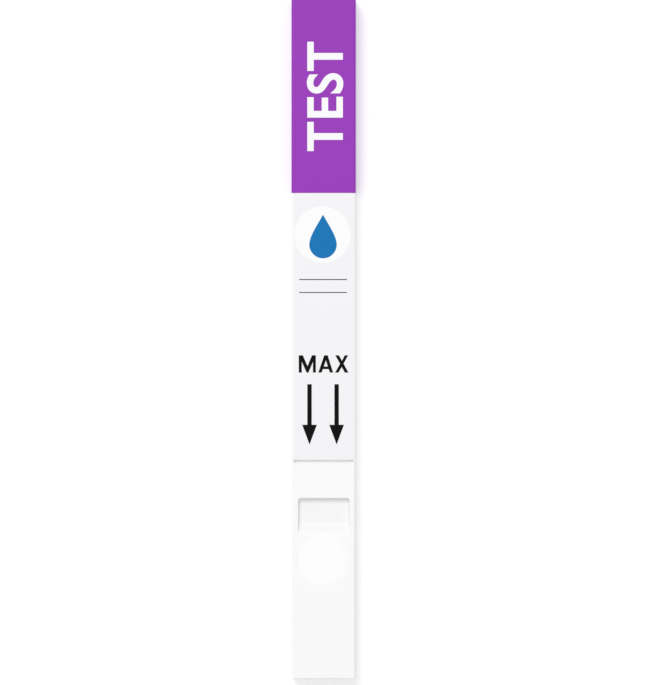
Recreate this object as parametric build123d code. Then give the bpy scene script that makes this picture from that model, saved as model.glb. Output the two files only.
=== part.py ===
from build123d import *
import os

os.makedirs("parts", exist_ok=True)

# Slim dip-type lateral flow cassette, in millimetres.
# +Y runs to the handle end, +Z out of the printed front, z = 0 is the back face.

# Housing
LENGTH = 126.6
WIDTH = 12.0
THICK = 4.0
EDGE_R = 0.5
END_R = 0.2
WALL = 1.0
PARTING_Z = 2.0
PARTING_BREAK = 0.08
FLOOR_Z = WALL
CEILING_Z = THICK - WALL
CAVITY_W = WIDTH - 2 * WALL
CAVITY_L = LENGTH - 2 * WALL
CAVITY_R = 0.3

# Lap joint between the two shells
LIP_T = 0.45
LIP_H = 0.5
LIP_GAP = 0.04

# Print carriers on the outside
FILM_T = 0.1
SLEEVE_Y = 27.1
SLEEVE_FIT = 0.005
LABEL_W = 11.07
LABEL_END_Y = -22.55
LABEL_R = 0.3
SLEEVE_FOLD = 1.2

# Immersion limit groove
GROOVE_Y = -22.8
GROOVE_W = 0.5
GROOVE_L = 11.1
GROOVE_D = 0.55

# Sample port
PORT_W = 9.5
PORT_TOP_Y = -29.64
PORT_LOW_Y = -46.8
PORT_CORNER_R = 0.5

# Strip, which faces the back shell
STRIP_W = 5.0
STRIP_Y = (-28.0, 42.0)
CARD_Z = (2.50, 2.75)
MEMBRANE_T = 0.14
MEMBRANE_Y = (-8.0, 17.0)
CONJUGATE_T = 0.40
CONJUGATE_Y = (-15.5, -6.0)
SAMPLE_T = 0.60
SAMPLE_END_Y = -13.5
ABSORBENT_T = 0.90
ABSORBENT_Y = 15.0
JOGGLE = 0.4

# Wick
WICK_W = 9.7
WICK_Y = (-61.2, -23.5)
WICK_TOP_Z = 2.98
CROWN_Z = 3.99
FLAT_Z = 3.12
SHOULDER_Y = (-34.0, -36.8)
TONGUE_Z = (1.18, CARD_Z[0] - SAMPLE_T)
TONGUE_Y = -28.6

# Result window in the back shell
WINDOW_W = 3.5
WINDOW_Y = (-3.0, 12.0)
WINDOW_BEVEL = 1.3
WINDOW_FRAME_T = 0.7
WINDOW_FRAME_Z = 2.32

# Guides, bars, ribs and pins
RAIL_X = 2.7
RAIL_T = 0.6
RAIL_Z = 2.05
RAIL_SPANS = ((-27.0, -12.0), (-9.0, 16.0), (19.0, 42.0))
BED_BAR_Y = (-26.0, -18.0, -6.0, 2.0, 10.0, 18.0, 28.0, 38.0)
BAR_W = 1.0
BED_BAR_Z = 2.76
TONGUE_BAR_Y = (-27.0, -24.5)
PRESS_BARS = ((-14.5, 1.48), (16.0, 1.44), (24.0, 1.58), (32.0, 1.58), (40.0, 1.58))
STOP_Y = 42.8
STOP_T = 0.8
PIN_X = 4.1
PIN_R = 0.5
PIN_TOP_Z = 2.8
SOCKET_R = 0.54
BOSS_R = 0.95
PIN_Y = (-20.0, 4.0, 30.0)
HANDLE_RIB_Y = (46.5, 51.5, 56.5)
RIB_T = 0.7
RIB_GAP = 0.1


def stick(inset):
    """Flat stick with soft long edges and crisper ends, drawn in by inset all over."""
    section = RectangleRounded(WIDTH - 2 * inset, THICK - 2 * inset, EDGE_R - inset)
    bar = extrude(Pos(0, 0, THICK / 2) * Rot(90, 0, 0) * section, LENGTH / 2 - inset, both=True)
    ends = bar.faces().filter_by(Axis.Y).edges()
    return fillet(ends, END_R - inset)


def block(x0, x1, y0, y1, z0, z1):
    """Box between two corners."""
    centre = Pos((x0 + x1) / 2, (y0 + y1) / 2, (z0 + z1) / 2)
    return centre * Box(abs(x1 - x0), abs(y1 - y0), abs(z1 - z0))


def rounded_prism(width, length, radius, z0, z1):
    """Upright prism on a rounded rectangle, centred on the axis."""
    outline = Pos(0, 0, z0) * RectangleRounded(width, length, radius)
    return extrude(outline, z1 - z0)


def side_profile(points, width):
    """Closed outline in Y and Z, carried across the width."""
    outline = make_face(Polyline(*[(0, y, z) for y, z in points], close=True))
    return extrude(outline, width / 2, dir=(1, 0, 0), both=True)


def port_outline():
    """Port with two small upper corners and a half-round lower end."""
    half = PORT_W / 2
    bend_y = PORT_LOW_Y + half
    straight = Pos(0, (PORT_TOP_Y + bend_y) / 2) * Rectangle(PORT_W, PORT_TOP_Y - bend_y)
    corners = straight.vertices().group_by(Axis.Y)[-1]
    return fillet(corners, PORT_CORNER_R) + Pos(0, bend_y) * Circle(half)


def housing():
    """Outer form with the film seat at the handle end, hollowed to an even wall."""
    main = stick(0)
    seat = stick(FILM_T)
    lower = main & block(-WIDTH, WIDTH, -LENGTH, SLEEVE_Y, -1, THICK + 1)
    upper = seat & block(-WIDTH, WIDTH, SLEEVE_Y, LENGTH, -1, THICK + 1)
    cavity = rounded_prism(CAVITY_W, CAVITY_L, CAVITY_R, FLOOR_Z, CEILING_Z)
    return lower + upper - cavity


def lip_ring(thickness, height):
    """Ring that stands on the parting plane along the inner side of the wall."""
    outer = rounded_prism(
        CAVITY_W + 2 * thickness, CAVITY_L + 2 * thickness, CAVITY_R + thickness,
        PARTING_Z, PARTING_Z + height
    )
    inner = rounded_prism(CAVITY_W, CAVITY_L, CAVITY_R, PARTING_Z, PARTING_Z + height)
    return outer - inner


def parting_break(height):
    """Ring that takes the outer corner off a parting edge, up or down by height."""
    small = Pos(0, 0, PARTING_Z) * RectangleRounded(
        WIDTH - 2 * PARTING_BREAK, LENGTH - 2 * PARTING_BREAK, END_R - PARTING_BREAK
    )
    full = Pos(0, 0, PARTING_Z + height) * RectangleRounded(WIDTH, LENGTH, END_R)
    slab = block(-WIDTH, WIDTH, -LENGTH, LENGTH, PARTING_Z, PARTING_Z + height)
    return slab - loft([small.face(), full.face()])


def handle_ribs(z0, z1):
    """Cross ribs and one spine that stiffen the empty handle."""
    half = CAVITY_W / 2
    ribs = block(-RIB_T / 2, RIB_T / 2, HANDLE_RIB_Y[0], HANDLE_RIB_Y[-1], z0, z1)
    for y in HANDLE_RIB_Y:
        ribs += block(-half, half, y - RIB_T / 2, y + RIB_T / 2, z0, z1)
    return ribs


def make_front_shell():
    """Front half: port, limit groove, label seat, card bed, rails and pin sockets."""
    shell = split(housing(), Plane.XY.offset(PARTING_Z), keep=Keep.TOP)
    shell -= lip_ring(LIP_T + LIP_GAP, LIP_H + LIP_GAP)
    shell -= parting_break(PARTING_BREAK)
    shell -= extrude(Pos(0, 0, CEILING_Z - 0.5) * port_outline(), THICK)
    shell -= block(
        -GROOVE_L / 2, GROOVE_L / 2, GROOVE_Y - GROOVE_W / 2, GROOVE_Y + GROOVE_W / 2,
        THICK - GROOVE_D, THICK + 1
    )
    shell -= block(-LABEL_W / 2, LABEL_W / 2, LABEL_END_Y, SLEEVE_Y, THICK - FILM_T, THICK + 1)
    for y0, y1 in RAIL_SPANS:
        rail = block(RAIL_X, RAIL_X + RAIL_T, y0, y1, RAIL_Z, CEILING_Z)
        shell += rail + mirror(rail, Plane.YZ)
    for y in BED_BAR_Y:
        shell += block(-RAIL_X, RAIL_X, y - BAR_W / 2, y + BAR_W / 2, BED_BAR_Z, CEILING_Z)
    shell += block(-RAIL_X, RAIL_X, STOP_Y, STOP_Y + STOP_T, RAIL_Z, CEILING_Z)
    spots = Locations(*[(side * PIN_X, y) for y in PIN_Y for side in (-1, 1)])
    reach = PARTING_Z + LIP_H + LIP_GAP
    for spot in spots.locations:
        boss = Pos(0, 0, reach) * extrude(Circle(BOSS_R), CEILING_Z - reach)
        inside = block(-CAVITY_W / 2, CAVITY_W / 2, -LENGTH, LENGTH, reach, CEILING_Z)
        shell += (spot * boss) & inside
    for spot in spots.locations:
        shell -= spot * Pos(0, 0, PARTING_Z) * extrude(Circle(SOCKET_R), PIN_TOP_Z - PARTING_Z + 0.05)
    shell += handle_ribs(PARTING_Z + RIB_GAP, CEILING_Z)
    return shell


def window_cone():
    """Bevelled opening that narrows from the back face to the frame."""
    centre_y = sum(WINDOW_Y) / 2
    length = WINDOW_Y[1] - WINDOW_Y[0]
    mouth = Pos(0, centre_y, 0) * RectangleRounded(
        WINDOW_W + 2 * WINDOW_BEVEL, length + 2 * WINDOW_BEVEL, 0.5 + WINDOW_BEVEL
    )
    throat = Pos(0, centre_y, FLOOR_Z) * RectangleRounded(WINDOW_W, length, 0.5)
    return loft([mouth.face(), throat.face()]) + extrude(throat, THICK)


def make_back_shell():
    """Back half: lap lip, result window with its frame, press bars and pins."""
    shell = split(housing(), Plane.XY.offset(PARTING_Z), keep=Keep.BOTTOM)
    shell += lip_ring(LIP_T, LIP_H)
    shell -= parting_break(-PARTING_BREAK)
    frame_x = WINDOW_W / 2 + WINDOW_FRAME_T
    shell += block(
        -frame_x, frame_x, WINDOW_Y[0] - WINDOW_FRAME_T, WINDOW_Y[1] + WINDOW_FRAME_T,
        FLOOR_Z, WINDOW_FRAME_Z
    )
    shell -= window_cone()
    half = STRIP_W / 2
    for y in TONGUE_BAR_Y:
        shell += block(-half, half, y - BAR_W / 2, y + BAR_W / 2, FLOOR_Z, TONGUE_Z[0])
    for y, top in PRESS_BARS:
        shell += block(-half, half, y - BAR_W / 2, y + BAR_W / 2, FLOOR_Z, top)
    for y in PIN_Y:
        for side in (-1, 1):
            pin = Pos(side * PIN_X, y, FLOOR_Z) * extrude(Circle(PIN_R), PIN_TOP_Z - FLOOR_Z)
            shell += chamfer(pin.edges().group_by(Axis.Z)[-1], 0.12)
    shell += handle_ribs(FLOOR_Z, PARTING_Z - RIB_GAP)
    return shell


def make_handle_sleeve():
    """Film shrunk over the handle, gathered round the end and open in its middle."""
    film = stick(0) - stick(FILM_T - SLEEVE_FIT)
    sleeve = film & block(-WIDTH, WIDTH, SLEEVE_Y, LENGTH, -1, THICK + 1)
    mouth = SlotOverall(WIDTH - 2 * SLEEVE_FOLD, THICK - 2 * SLEEVE_FOLD)
    return sleeve - Pos(0, LENGTH / 2, THICK / 2) * extrude(Rot(90, 0, 0) * mouth, 1, both=True)


def make_front_label():
    """Thin label lying flush in its seat, from the sleeve to the groove."""
    outline = RectangleRounded(LABEL_W, SLEEVE_Y - LABEL_END_Y, LABEL_R)
    return extrude(Pos(0, (SLEEVE_Y + LABEL_END_Y) / 2, THICK - FILM_T) * outline, FILM_T)


def make_wick():
    """Die-cut wick: pinched tongue under the strip, full body, crown in the port."""
    base = side_profile(
        [
            (WICK_Y[0], FLOOR_Z),
            (TONGUE_Y - 1.6, FLOOR_Z),
            (TONGUE_Y - 0.8, TONGUE_Z[0]),
            (WICK_Y[1], TONGUE_Z[0]),
            (WICK_Y[1], TONGUE_Z[1]),
            (TONGUE_Y + 0.3, TONGUE_Z[1]),
            (TONGUE_Y, WICK_TOP_Z),
            (WICK_Y[0], WICK_TOP_Z),
        ],
        WICK_W,
    )
    tongue_room = block(-WIDTH, WIDTH, TONGUE_Y + 0.3, WICK_Y[1] + 1, 0, THICK)
    base -= tongue_room - block(-STRIP_W / 2, STRIP_W / 2, -LENGTH, LENGTH, 0, THICK)
    crown = extrude(Pos(0, 0, WICK_TOP_Z) * port_outline(), CROWN_Z - WICK_TOP_Z)
    foot_y, top_y = SHOULDER_Y
    rise = Spline(
        (0, foot_y, FLAT_Z), (0, top_y, CROWN_Z), tangents=((0, -1, 0), (0, -1, 0))
    )
    rest = Polyline(
        (0, top_y, CROWN_Z), (0, PORT_LOW_Y - 1, CROWN_Z),
        (0, PORT_LOW_Y - 1, WICK_TOP_Z), (0, PORT_TOP_Y + 1, WICK_TOP_Z),
        (0, PORT_TOP_Y + 1, FLAT_Z), (0, foot_y, FLAT_Z)
    )
    swell = extrude(make_face(rise + rest), WIDTH / 2, dir=(1, 0, 0), both=True)
    return base + (crown & swell)


def make_backing_card():
    """Stiff card behind the whole strip."""
    return block(-STRIP_W / 2, STRIP_W / 2, *STRIP_Y, *CARD_Z)


def make_membrane():
    """Thin membrane laid on the card."""
    z = CARD_Z[0]
    return block(-STRIP_W / 2, STRIP_W / 2, *MEMBRANE_Y, z - MEMBRANE_T, z)


def make_conjugate_pad():
    """Pad that steps over the end of the membrane."""
    z = CARD_Z[0]
    step_y = MEMBRANE_Y[0]
    lap = z - MEMBRANE_T
    return side_profile(
        [
            (CONJUGATE_Y[0], z),
            (step_y - JOGGLE, z),
            (step_y, lap),
            (CONJUGATE_Y[1], lap),
            (CONJUGATE_Y[1], lap - CONJUGATE_T),
            (step_y, lap - CONJUGATE_T),
            (step_y - JOGGLE, z - CONJUGATE_T),
            (CONJUGATE_Y[0], z - CONJUGATE_T),
        ],
        STRIP_W,
    )


def make_sample_pad():
    """Pad that steps over the end of the conjugate pad."""
    z = CARD_Z[0]
    step_y = CONJUGATE_Y[0]
    lap = z - CONJUGATE_T
    return side_profile(
        [
            (STRIP_Y[0], z),
            (step_y - JOGGLE, z),
            (step_y, lap),
            (SAMPLE_END_Y, lap),
            (SAMPLE_END_Y, lap - SAMPLE_T),
            (step_y, lap - SAMPLE_T),
            (step_y - JOGGLE, z - SAMPLE_T),
            (STRIP_Y[0], z - SAMPLE_T),
        ],
        STRIP_W,
    )


def make_absorbent_pad():
    """Thick pad that steps over the far end of the membrane."""
    z = CARD_Z[0]
    step_y = MEMBRANE_Y[1]
    lap = z - MEMBRANE_T
    return side_profile(
        [
            (STRIP_Y[1], z),
            (step_y + JOGGLE, z),
            (step_y, lap),
            (ABSORBENT_Y, lap),
            (ABSORBENT_Y, lap - ABSORBENT_T),
            (step_y, lap - ABSORBENT_T),
            (step_y + JOGGLE, z - ABSORBENT_T),
            (STRIP_Y[1], z - ABSORBENT_T),
        ],
        STRIP_W,
    )


pieces = {
    "front_shell": make_front_shell(),
    "back_shell": make_back_shell(),
    "handle_sleeve": make_handle_sleeve(),
    "front_label": make_front_label(),
    "wick": make_wick(),
    "backing_card": make_backing_card(),
    "sample_pad": make_sample_pad(),
    "conjugate_pad": make_conjugate_pad(),
    "membrane": make_membrane(),
    "absorbent_pad": make_absorbent_pad(),
}

for node, piece in pieces.items():
    export_step(piece, "parts/" + node + ".step")
    box = piece.bounding_box()
    print(node, len(piece.solids()), round(piece.volume, 3), box.min, box.max)
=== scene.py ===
import math

import bmesh
import bpy
from mathutils import Matrix, Vector, noise


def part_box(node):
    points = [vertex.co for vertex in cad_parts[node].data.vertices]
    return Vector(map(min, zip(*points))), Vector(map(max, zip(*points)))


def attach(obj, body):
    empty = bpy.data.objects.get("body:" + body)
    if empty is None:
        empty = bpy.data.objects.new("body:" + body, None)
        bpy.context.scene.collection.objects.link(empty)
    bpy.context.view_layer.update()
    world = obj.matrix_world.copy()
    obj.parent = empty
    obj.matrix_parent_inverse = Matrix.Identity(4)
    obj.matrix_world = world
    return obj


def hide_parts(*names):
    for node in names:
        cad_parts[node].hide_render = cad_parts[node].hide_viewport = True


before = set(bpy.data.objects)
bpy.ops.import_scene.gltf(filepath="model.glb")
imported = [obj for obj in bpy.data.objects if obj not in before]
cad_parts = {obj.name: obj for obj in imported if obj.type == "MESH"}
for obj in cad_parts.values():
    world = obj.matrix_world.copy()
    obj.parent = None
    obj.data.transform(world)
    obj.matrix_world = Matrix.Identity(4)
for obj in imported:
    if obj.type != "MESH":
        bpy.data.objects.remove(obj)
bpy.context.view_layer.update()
scene = bpy.context.scene

# View. Straight down on the printed front, with the handle end at the top of the
# picture and the object a little left of its middle.
MM = 0.001
PICTURE_HEIGHT = 127.44 * MM
PICTURE_MIDDLE = (1.46 * MM, -0.71 * MM)
FRONT_Z = 4.0 * MM
LENS, SENSOR = 180.0, 36.0
CLIP_NEAR, CLIP_FAR = 0.01, 20.0
eye = bpy.data.cameras.new("eye")
eye.lens = LENS
eye.sensor_width = SENSOR
eye.clip_start = CLIP_NEAR
eye.clip_end = CLIP_FAR
camera = bpy.data.objects.new("eye", eye)
camera.location = (*PICTURE_MIDDLE, FRONT_Z + LENS * PICTURE_HEIGHT / SENSOR)
scene.collection.objects.link(camera)
scene.camera = camera


# Back shell. Lower half of the housing, injection moulded in white polystyrene, with the
# result window in it. The mould is lightly spark eroded, which gives the eye a satin
# skin with a fine even grain, and the flow leaves it faintly cloudy.
def tint(code):
    """sRGB hex to a linear colour."""
    channels = [int(code[i:i + 2], 16) / 255 for i in (1, 3, 5)]
    return [c / 12.92 if c <= 0.04045 else ((c + 0.055) / 1.055) ** 2.4 for c in channels] + [1.0]


def add(tree, kind, inputs=None, **settings):
    """Adds one node, with its settings, its values and its links."""
    made = tree.nodes.new("ShaderNode" + kind)
    for name, value in settings.items():
        setattr(made, name, value)
    for socket, value in (inputs or {}).items():
        if isinstance(value, bpy.types.NodeSocket):
            tree.links.new(value, made.inputs[socket])
        else:
            made.inputs[socket].default_value = value
    return made


CLOUD_DETAIL = 2.0
PIT_DETAIL, PIT_ROUGHNESS, PIT_STRENGTH = 4.0, 0.6, 0.5


def finish(name, tones, mottle, grain, relief, rough, gloss, ior=1.5, drawn=1.0):
    """Opaque material: tones that drift over the mottle, relief and roughness by the grain.

    Mottle, grain and relief are real sizes. Drawn is how much shorter the pattern is
    counted along the stick, so that it runs out into fibres or draw marks there.
    """
    material = bpy.data.materials.new(name)
    material.use_nodes = True
    tree = material.node_tree
    tree.nodes.clear()
    place = add(tree, "TexCoord")
    along = add(tree, "Mapping", {"Vector": place.outputs["Object"], "Scale": (1.0, drawn, 1.0)})
    cloud = add(tree, "TexNoise", {
        "Vector": along.outputs["Vector"], "Scale": 1 / mottle, "Detail": CLOUD_DETAIL,
    })
    tone = add(tree, "Mix", {
        "Factor": cloud.outputs["Fac"], "A": tint(tones[0]), "B": tint(tones[1]),
    }, data_type="RGBA")
    pits = add(tree, "TexNoise", {
        "Vector": along.outputs["Vector"], "Scale": 1 / grain, "Detail": PIT_DETAIL,
        "Roughness": PIT_ROUGHNESS,
    })
    bump = add(tree, "Bump", {
        "Height": pits.outputs["Fac"], "Strength": PIT_STRENGTH, "Distance": relief,
    })
    satin = add(tree, "MapRange", {
        "Value": pits.outputs["Fac"], "To Min": rough[0], "To Max": rough[1],
    })
    body = add(tree, "BsdfPrincipled", {
        "Base Color": tone.outputs["Result"], "Roughness": satin.outputs["Result"],
        "Normal": bump.outputs["Normal"], "IOR": ior, "Specular IOR Level": gloss,
    })
    add(tree, "OutputMaterial", {"Surface": body.outputs["BSDF"]})
    return material


def dress(node, material):
    """Gives a carried-over piece its material."""
    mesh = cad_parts[node].data
    mesh.materials.clear()
    mesh.materials.append(material)


moulded_polystyrene = finish(
    "moulded_white_polystyrene", ("#F9F9FA", "#FBFBFB"), mottle=9 * MM, grain=0.14 * MM,
    relief=0.0024 * MM, rough=(0.38, 0.52), gloss=0.3, ior=1.59,
)
dress("back_shell", moulded_polystyrene)

# Backing card. Stiff white polyester sheet with adhesive on one side, guillotined. It
# carries the membrane and the pads, and lies on the bars of the front shell.
dress("backing_card", finish(
    "white_polyester_card", ("#EDEDEA", "#F3F3F1"), mottle=1.5 * MM, grain=0.3 * MM,
    relief=0.001 * MM, rough=(0.4, 0.5), gloss=0.5, ior=1.57,
))

# Membrane. Cast nitrocellulose, chalk white and matt, stuck to the card. It is read
# through the window in the back shell, and carries no visible line before use.
dress("membrane", finish(
    "cast_nitrocellulose", ("#F2F2EE", "#F8F8F5"), mottle=0.4 * MM, grain=0.09 * MM,
    relief=0.004 * MM, rough=(0.85, 0.95), gloss=0.15,
))

# Pads of the strip. The sample and conjugate pads are glass fibre, the second dyed pink
# by its dried reagent, and the absorbent pad is cotton paper. All are cut wide, lapped
# over each other, rolled onto the card and slit, so their fibres run along the strip.
PAD_FIBRE = 0.12 * MM
for pad, label, tones in (
    ("conjugate_pad", "dyed_glass_fibre_pad", ("#CF8F98", "#DEA6AD")),
    ("sample_pad", "glass_fibre_pad", ("#ECECE6", "#F6F6F2")),
    ("absorbent_pad", "cotton_paper_pad", ("#EAEAE4", "#F3F3EF")),
):
    dress(pad, finish(
        label, tones, mottle=2 * PAD_FIBRE, grain=PAD_FIBRE, relief=0.016 * MM,
        rough=(0.9, 1.0), gloss=0.1, drawn=0.25,
    ))

# Wick. Bonded white polyester fibre, die cut from sheet, pinched under the strip and left
# free in the port, where it swells to the face. Its felted skin is soft, matt and
# slightly uneven, with single fibres lying mostly along the stick.
WICK_FIBRE = 0.16 * MM
WICK_LUMP, WICK_LUMP_DEPTH = 0.9 * MM, 0.02 * MM
WICK_CUT = 0.3 * MM
WICK_LOW_Z, WICK_HIGH_Z = 3.12 * MM, 3.99 * MM
WICK_GAP_LEFT, WICK_GAP_RIGHT, WICK_CLOSE = 0.016 * MM, 0.08 * MM, 0.3 * MM
UPWARD = 0.5
RIM_SLACK = 0.01 * MM
MERGE, ON_CUT = 0.0005 * MM, 1e-7


def merged_copy(node):
    """A bmesh of a carried-over piece with its loose triangles joined."""
    piece = bmesh.new()
    piece.from_mesh(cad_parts[node].data)
    bmesh.ops.remove_doubles(piece, verts=piece.verts, dist=MERGE)
    return piece


def cut_evenly(piece, low, high, axes, pitch, wanted):
    """Cuts the wanted faces across each axis, at one pitch between the box's corners."""
    for axis in axes:
        across = Vector([float(i == axis) for i in range(3)])
        for step in range(1, int((high[axis] - low[axis]) / pitch)):
            piece.normal_update()
            faces = [face for face in piece.faces if wanted(face)]
            edges = {edge for face in faces for edge in face.edges}
            verts = {vert for face in faces for vert in face.verts}
            bmesh.ops.bisect_plane(
                piece, geom=[*verts, *edges, *faces], dist=ON_CUT,
                plane_co=low + across * step * pitch, plane_no=across,
            )


def made_of(name, piece, material):
    """Turns a bmesh into an object with its material."""
    mesh = bpy.data.meshes.new(name)
    piece.to_mesh(mesh)
    piece.free()
    mesh.materials.append(material)
    made = bpy.data.objects.new(name, mesh)
    scene.collection.objects.link(made)
    return made


# Its sides stand a hair clear of the port where it lies low, and press against it above.
felt = merged_copy("wick")
low, high = (Vector(corner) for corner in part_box("wick"))
cut_evenly(felt, low, high, (0, 1), WICK_CUT, lambda face: face.normal.z > UPWARD)
felt.normal_update()
for vert in felt.verts:
    slopes = [face.normal.z for face in vert.link_faces]
    if min(slopes) > UPWARD:
        vert.co.z += (noise.noise(vert.co / WICK_LUMP) - 1) / 2 * WICK_LUMP_DEPTH
    elif max(slopes) > UPWARD and vert.co.z > WICK_LOW_Z - RIM_SLACK:
        lowness = max(0, 1 - (vert.co.z - WICK_LOW_Z) / WICK_CLOSE)
        rightness = (1 + vert.co.x / high.x) / 2
        vert.co.x -= lowness * (WICK_GAP_RIGHT * rightness - WICK_GAP_LEFT * (1 - rightness))
bmesh.ops.triangulate(felt, faces=felt.faces)

# It is whiter the higher it stands, which leaves it greyer low in the port: painted shade in
# the recess. A soft round patch in the middle of its crown is whiter still, a painted
# highlight. The shoulder is greyer too: painted shade that offsets the extra lamp light on its
# slope, which faces the lamp.
WICK_CROWN = (-0.3 * MM, -41.2 * MM, WICK_HIGH_Z)
CROWN_RIM_R, CROWN_HIGHLIGHT_R = 5.4 * MM, 3.9 * MM
SHOULDER_Z, SHOULDER_REACH, SHOULDER_CURVE = 3.55 * MM, 0.41 * MM, 0.6
RISEN_TONE, CROWN_HIGHLIGHT_TONE, SHOULDER_SHADE_TONE = "#FAFAFA", "#FEFEFE", "#EFEFEF"
bonded_fibre = finish(
    "bonded_polyester_fibre", ("#F5F5F4", "#F8F8F8"), mottle=2 * WICK_FIBRE, grain=WICK_FIBRE,
    relief=0.02 * MM, rough=(0.9, 1.0), gloss=0.1, drawn=0.22,
)
tree = bonded_fibre.node_tree
place = tree.nodes["Texture Coordinate"].outputs["Object"]
height = add(tree, "SeparateXYZ", {"Vector": place})
# Painted shade: the felt is whiter the higher it stands, so it is greyer low in the port.
risen = add(tree, "MapRange", {
    "Value": height.outputs["Z"], "From Min": WICK_LOW_Z, "From Max": WICK_HIGH_Z,
})
port_shade_mix = add(tree, "Mix", {
    "Factor": risen.outputs["Result"], "A": tree.nodes["Mix"].outputs["Result"],
    "B": tint(RISEN_TONE),
}, data_type="RGBA")
# Painted highlight: a soft round whiter patch in the middle of the crown.
away = add(tree, "VectorMath", {0: place, 1: WICK_CROWN}, operation="DISTANCE")
free = add(tree, "MapRange", {
    "Value": away.outputs["Value"], "From Min": CROWN_RIM_R, "From Max": CROWN_HIGHLIGHT_R,
}, interpolation_type="SMOOTHSTEP")
crown_highlight = add(tree, "Mix", {
    "Factor": free.outputs["Result"], "A": port_shade_mix.outputs["Result"], "B": tint(CROWN_HIGHLIGHT_TONE),
}, data_type="RGBA")
# Painted shade: greyer on the shoulder, whose slope faces the lamp.
above = add(tree, "Math", {0: height.outputs["Z"], 1: SHOULDER_Z}, operation="SUBTRACT")
apart = add(tree, "Math", {0: above.outputs["Value"]}, operation="ABSOLUTE")
steep = add(tree, "MapRange", {
    "Value": apart.outputs["Value"], "From Min": SHOULDER_REACH, "From Max": 0.0,
})
shoulder_shade = add(tree, "Math", {0: steep.outputs["Result"], 1: SHOULDER_CURVE}, operation="POWER")
skin = add(tree, "Mix", {
    "Factor": shoulder_shade.outputs["Value"], "A": crown_highlight.outputs["Result"],
    "B": tint(SHOULDER_SHADE_TONE),
}, data_type="RGBA")
tree.links.new(skin.outputs["Result"], tree.nodes["Principled BSDF"].inputs["Base Color"])
wick = made_of("wick_felt", felt, bonded_fibre)
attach(wick, "root")
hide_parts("wick")

# Front shell. Upper half of the housing, from the same mould family and plastic as the
# back, pressed onto its pins. It holds the port, the limit groove and the label's seat.
dress("front_shell", moulded_polystyrene)

# Front label. Matt white polypropylene film with a clear adhesive, laid in a shallow
# seat so that it ends at the groove. It is a shade cooler and darker than the housing.
dress("front_label", finish(
    "matt_polypropylene_label", ("#F3F3F6", "#F5F5F7"), mottle=5 * MM, grain=0.2 * MM,
    relief=0.001 * MM, rough=(0.45, 0.55), gloss=0.25,
))


# Limit word. Black ink, screen printed on the label a few hundredths of a millimetre
# thick, 3.2 mm high. Its plain heavy strokes are drawn 150 units to the cap height.
def ink(name, tones):
    """Screen ink: matt, dense, with the finest speckle from the mesh."""
    return finish(
        name, tones, mottle=0.15 * MM, grain=0.15 * MM, relief=0.0005 * MM,
        rough=(0.45, 0.6), gloss=0.1,
    )


INK_LOW, INK_HIGH = FRONT_Z - 0.015 * MM, FRONT_Z + 0.008 * MM


def print_on(name, flat, colour, top=INK_HIGH):
    """Gives a flat bmesh the thickness of ink and lays it on the front."""
    for vert in flat.verts:
        vert.co.z = INK_LOW
    flat.normal_update()
    if sum(face.normal.z for face in flat.faces) < 0:
        bmesh.ops.reverse_faces(flat, faces=flat.faces)
    raised = bmesh.ops.extrude_face_region(flat, geom=flat.faces[:])
    tops = [item for item in raised["geom"] if isinstance(item, bmesh.types.BMVert)]
    bmesh.ops.translate(flat, verts=tops, vec=(0, 0, top - INK_LOW))
    bmesh.ops.recalc_face_normals(flat, faces=flat.faces)
    for face in flat.faces:
        face.smooth = False
    piece = made_of(name, flat, colour)
    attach(piece, "root")


black_ink = ink("black_screen_ink", ("#050507", "#09090B"))
CAP_UNITS, GLYPH_MERGE = 150, 0.1
GLYPH_CORNER = (-4.63 * MM, -6.31 * MM)
GLYPH_UNIT = 3.22 * MM / CAP_UNITS
GLYPH_NARROW = 0.967
GLYPHS = (
    ("M", ((
        (0, 0), (0, 150), (37, 150), (78, 56), (118, 150), (153, 150), (153, 0),
        (127, 0), (127, 93), (87, 0), (70, 0), (27, 93), (27, 0),
    ),)),
    ("A", (
        ((175, 0), (228, 150), (244, 150), (243, 106), (225, 53), (216, 30), (205, 0)),
        ((244, 150), (260, 150), (308, 0), (279, 0), (268, 30), (260, 53), (243, 106)),
        ((216, 30), (225, 53), (260, 53), (268, 30)),
    )),
    ("X", ((
        (325, 0), (370, 76), (327, 150), (360, 150), (387, 103), (412, 150), (443, 150),
        (402, 78), (445, 0), (413, 0), (385, 48), (356, 0),
    ),)),
)
for glyph, outlines in GLYPHS:
    strokes = bmesh.new()
    for outline in outlines:
        strokes.faces.new([strokes.verts.new((x, y, 0)) for x, y in outline])
    bmesh.ops.remove_doubles(strokes, verts=strokes.verts, dist=GLYPH_MERGE)
    bmesh.ops.transform(strokes, verts=strokes.verts, matrix=(
        Matrix.Translation((*GLYPH_CORNER, 0))
        @ Matrix.Diagonal((GLYPH_UNIT * GLYPH_NARROW, GLYPH_UNIT, 1, 1))
    ))
    bmesh.ops.recalc_face_normals(strokes, faces=strokes.faces)
    strokes.normal_update()
    bmesh.ops.triangulate(strokes, faces=strokes.faces)
    print_on("limit_word_" + glyph, strokes, black_ink)

# Limit arrows. Two of them in the same black ink, side by side under the word, which
# point down to the groove and tell how deep the dip end may go in.
ARROW_TOP, ARROW_NECK, ARROW_TIP = -8.47 * MM, -16.02 * MM, -19.7 * MM
SHAFT_W, HEAD_W = 0.82 * MM, 2.75 * MM
for side, middle in (("left", -2.63 * MM), ("right", 2.41 * MM)):
    arrow = bmesh.new()
    arrow.faces.new([arrow.verts.new((middle + x, y, 0)) for x, y in (
        (-SHAFT_W / 2, ARROW_TOP), (-SHAFT_W / 2, ARROW_NECK), (-HEAD_W / 2, ARROW_NECK),
        (0, ARROW_TIP),
        (HEAD_W / 2, ARROW_NECK), (SHAFT_W / 2, ARROW_NECK), (SHAFT_W / 2, ARROW_TOP),
    )])
    arrow.normal_update()
    bmesh.ops.triangulate(arrow, faces=arrow.faces)
    print_on("limit_arrow_" + side, arrow, black_ink)

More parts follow.
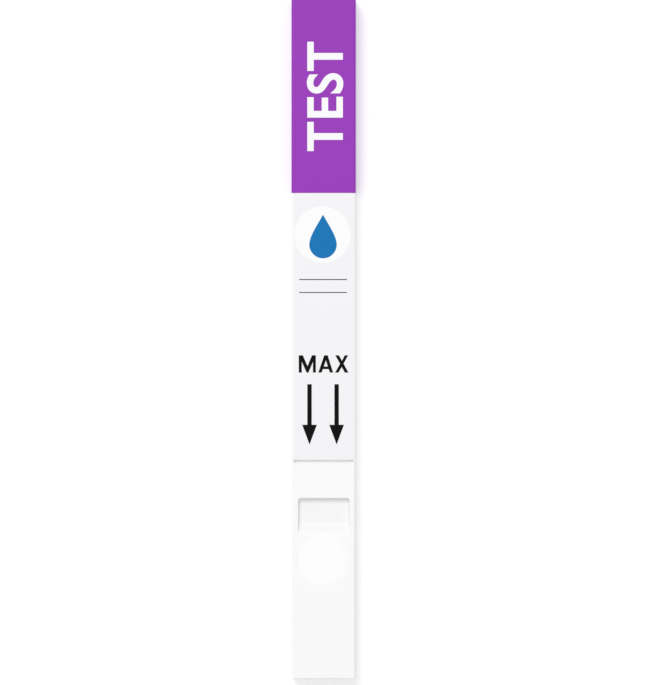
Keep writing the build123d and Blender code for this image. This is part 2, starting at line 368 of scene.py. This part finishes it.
# Sample sign. A round patch of white ink almost as wide as the label, which lifts what
# is printed on it, and on that a plain droplet in blue ink, a generic sign for a liquid
# sample. The droplet is a circle whose upper half is drawn out to a point.
PATCH_R, PATCH_SIDES, PATCH_HIGH = 5.25 * MM, 128, FRONT_Z + 0.004 * MM
PATCH_MIDDLE = (-0.22 * MM, 19.35 * MM, 0)
DROP_R, DROP_SIDES, DROP_LEAN = 2.55 * MM, 96, 0.25
DROP_MIDDLE = (-0.12 * MM, 17.5 * MM, 0)
patch = bmesh.new()
bmesh.ops.create_circle(patch, cap_ends=True, radius=PATCH_R, segments=PATCH_SIDES)
bmesh.ops.translate(patch, verts=patch.verts, vec=PATCH_MIDDLE)
white_ink = ink("white_screen_ink", ("#FBFBFC", "#FDFDFD"))
print_on("sample_patch", patch, white_ink, PATCH_HIGH)
drop = bmesh.new()
bmesh.ops.create_circle(drop, cap_ends=True, radius=DROP_R, segments=DROP_SIDES)
for vert in drop.verts:
    if vert.co.y > 0:
        turn = math.asin(min(1, vert.co.y / DROP_R))
        vert.co.y = DROP_R * (turn + DROP_LEAN * turn ** 2)
bmesh.ops.translate(drop, verts=drop.verts, vec=DROP_MIDDLE)
blue_ink = ink("blue_screen_ink", ("#1673B4", "#1B79BA"))
print_on("sample_drop", drop, blue_ink)

# Writing lines. Two thin ruled lines in black ink below the drop, to write a name or a
# date on, as test devices often have.
RULE_LENGTH, RULE_WEIGHT, RULE_X = 8.9 * MM, 0.16 * MM, -0.1 * MM
for name, y in (("upper", 11.0 * MM), ("lower", 8.6 * MM)):
    rule = bmesh.new()
    bmesh.ops.create_grid(rule, x_segments=1, y_segments=1, size=0.5)
    bmesh.ops.transform(rule, verts=rule.verts, matrix=(
        Matrix.Translation((RULE_X, y, 0)) @ Matrix.Diagonal((RULE_LENGTH, RULE_WEIGHT, 1, 1))
    ))
    print_on("write_line_" + name, rule, black_ink)

# Handle sleeve. Purple printed polyester film, slipped over the handle and shrunk on
# with hot air. It is smooth and a little glossy, with fine draw marks along its length,
# and where it gathers over the end its mouth puckers.
MOUTH_HALF, MOUTH_R, FOLD = 4.0 * MM, 0.8 * MM, 1.2 * MM
MOUTH_CUT, CUT_REACH, FACE_REACH = 0.2 * MM, 0.25 * MM, 0.1 * MM
PUCKER, PUCKER_PITCH, PUCKER_DRIFT = 0.07 * MM, 0.85 * MM, 2.5
MOUTH_RAG, MOUTH_RAG_PITCH = 0.16 * MM, 1.1 * MM
CORNER_TRAVEL, NEVER_ZERO = 1.4 * MM, 1e-9
LIP_SEED, RAG_SEED = 7.0, 3.0
film = merged_copy("handle_sleeve")
low, high = (Vector(corner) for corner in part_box("handle_sleeve"))
mid_z = (low.z + high.z) / 2
cut_evenly(film, low, high, (0, 2), MOUTH_CUT, lambda face: all(
    vert.co.y > high.y - CUT_REACH for vert in face.verts
))
for vert in film.verts:
    if vert.co.y > high.y - FACE_REACH:
        past_end = math.copysign(max(0, abs(vert.co.x) - MOUTH_HALF), vert.co.x)
        out = Vector((past_end, 0, vert.co.z - mid_z))
        near = max(0, 1 - (out.length - MOUTH_R) / FOLD)
        along = vert.co.x + CORNER_TRAVEL * math.atan2(out.x, abs(out.z) + NEVER_ZERO)
        lip = math.copysign(LIP_SEED, out.z)
        drift = PUCKER_DRIFT * noise.noise((along / MM, lip, 0))
        wave = math.sin(math.tau * along / PUCKER_PITCH + drift)
        rag = noise.noise((along / MOUTH_RAG_PITCH, lip, RAG_SEED)) * MOUTH_RAG
        vert.co += out.normalized() * rag * near ** 2
        vert.co.y += PUCKER * near * (1 + wave) / 2
bmesh.ops.triangulate(film, faces=film.faces)
film.normal_update()
shrink_film = finish(
    "purple_shrink_film", ("#9631B7", "#9A35BB"), mottle=0.5 * MM, grain=0.5 * MM,
    relief=0.0016 * MM, rough=(0.34, 0.42), gloss=0.3, ior=1.57, drawn=0.05,
)
sleeve = made_of("sleeve_film", film, shrink_film)
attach(sleeve, "root")
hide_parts("handle_sleeve")

# Handle word. Printed in white ink on the sleeve, which dulls it a little, in one line
# that is read with the handle held to the left.
WORD_CORNER = (3.66 * MM, 34.9 * MM)
WORD_LENGTH, WORD_HEIGHT = 20.35 * MM, 6.79 * MM
WORD_WEIGHT, WORD_SPACING, WORD_MERGE = 0.022, 1.08, 1e-5
curve = bpy.data.curves.new("handle_word_line", "FONT")
curve.body = "TEST"
curve.offset = WORD_WEIGHT
curve.space_character = WORD_SPACING
text = bpy.data.objects.new("handle_word_line", curve)
scene.collection.objects.link(text)
bpy.context.view_layer.update()
set_text = text.evaluated_get(bpy.context.evaluated_depsgraph_get())
set_mesh = bpy.data.meshes.new_from_object(set_text)
bpy.data.objects.remove(text)
word = bmesh.new()
word.from_mesh(set_mesh)
bmesh.ops.remove_doubles(word, verts=word.verts, dist=WORD_MERGE)
low = Vector([min(vert.co[i] for vert in word.verts) for i in range(2)] + [0])
high = Vector([max(vert.co[i] for vert in word.verts) for i in range(2)] + [0])
bmesh.ops.transform(word, verts=word.verts, matrix=(
    Matrix.Translation((*WORD_CORNER, 0)) @ Matrix.Rotation(math.radians(90), 4, "Z")
    @ Matrix.Diagonal((WORD_LENGTH / (high - low).x, WORD_HEIGHT / (high - low).y, 1, 1))
    @ Matrix.Translation(-low)
))
sleeve_ink = ink("white_sleeve_ink", ("#F8F7F9", "#FBFAFC"))
print_on("handle_word", word, sleeve_ink)

# Table. Plain white card under the object, which shows white where no shadow falls on
# it, because what the eye and gloss see of it is lifted. It lies a hair under the back.
TABLE_DROP, TABLE_REACH, TABLE_LIFT = 0.02 * MM, 3.0, 0.33
table_card = bpy.data.materials.new("white_table_card")
table_card.use_nodes = True
tree = table_card.node_tree
tree.nodes.clear()
ray = add(tree, "LightPath")
seen = add(tree, "Math", {
    0: ray.outputs["Is Camera Ray"], 1: ray.outputs["Is Glossy Ray"],
}, operation="MAXIMUM")
through = add(tree, "Math", {
    0: seen.outputs["Value"], 1: ray.outputs["Is Transmission Ray"],
}, operation="MAXIMUM")
lift = add(tree, "Math", {0: through.outputs["Value"], 1: TABLE_LIFT}, operation="MULTIPLY")
card = add(tree, "BsdfDiffuse", {"Color": tint("#E6E6E8")})
glow = add(tree, "Emission", {"Color": tint("#FFFFFF"), "Strength": lift.outputs["Value"]})
both = add(tree, "AddShader", {0: card.outputs["BSDF"], 1: glow.outputs["Emission"]})
add(tree, "OutputMaterial", {"Surface": both.outputs["Shader"]})
table_top = bmesh.new()
bmesh.ops.create_grid(table_top, x_segments=1, y_segments=1, size=TABLE_REACH)
bmesh.ops.translate(table_top, verts=table_top.verts, vec=(0, 0, -TABLE_DROP))
table = made_of("table", table_top, table_card)

# Light. An even pale room, and one broad soft lamp a good way off at the upper left,
# so that the far end of the object gets as much light as the near one.
ROOM_STRENGTH = 0.675
LAMP_WIDTH, LAMP_POWER = 2.25, 56.3
LAMP_PLACE = (-0.85, 2.10, 2.65)
room = bpy.data.worlds.new("room")
room.use_nodes = True
room.node_tree.nodes.clear()
air = add(room.node_tree, "Background", {"Color": tint("#FFFFFF"), "Strength": ROOM_STRENGTH})
add(room.node_tree, "OutputWorld", {"Surface": air.outputs["Background"]})
scene.world = room
lamp = bpy.data.lights.new("window", "AREA")
lamp.shape = "DISK"
lamp.size = LAMP_WIDTH
lamp.energy = LAMP_POWER
lamp_stand = bpy.data.objects.new("window", lamp)
lamp_stand.location = LAMP_PLACE
lamp_stand.rotation_euler = (-lamp_stand.location).to_track_quat("-Z", "Y").to_euler()
scene.collection.objects.link(lamp_stand)
scene.view_settings.view_transform = "Standard"
